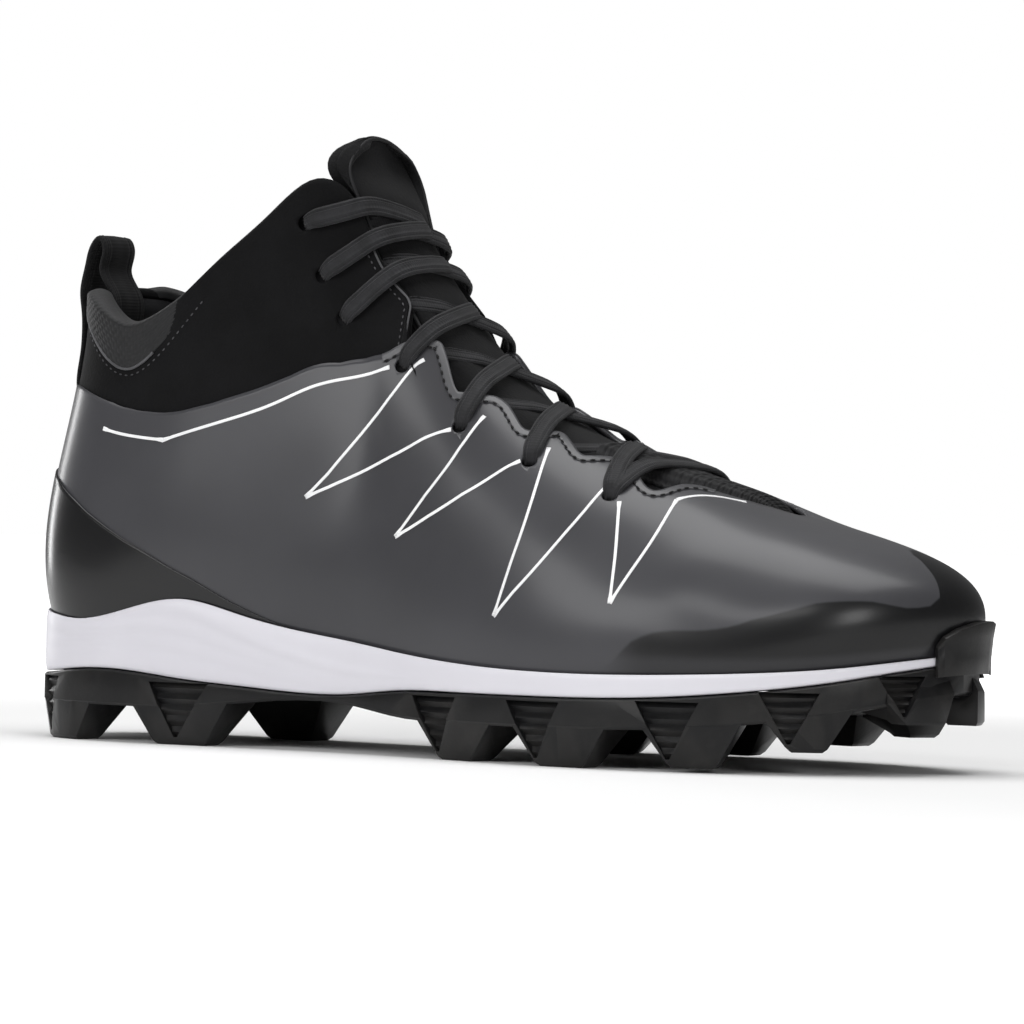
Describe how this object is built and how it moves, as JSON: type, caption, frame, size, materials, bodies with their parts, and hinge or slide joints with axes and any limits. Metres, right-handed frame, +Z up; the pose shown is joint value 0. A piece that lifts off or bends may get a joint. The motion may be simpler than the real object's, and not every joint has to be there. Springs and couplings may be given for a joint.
{
  "type": "american football cleat",
  "caption": "Mid cut right shoe with a moulded studded outsole, foam midsole, crossed flat lacing over a padded tongue, an open collar and a webbing loop at the heel.",
  "frame": {"origin": "centre of the shoe's footprint box, on the ground plane under the studs", "axes": "+X from heel to toe, +Y to the inner side of the foot, +Z up"},
  "size_m": [0.2972, 0.1042, 0.1744],
  "materials": {
    "outsole": "matt black moulded rubber",
    "midsole": "satin off-white foam",
    "insole": "matt black cloth over foam",
    "upper": "coated synthetic leather with a satin sheen, textile cuff",
    "tongue": "matt black padded textile",
    "laces": "flat woven black cord",
    "pull_loop": "black webbing"
  },
  "bodies": {
    "root": {"outsole": "outsole", "midsole": "midsole", "insole": "insole", "upper": "upper", "tongue": "tongue", "laces": "laces", "pull_loop": "pull_loop"}
  },
  "joints": []
}
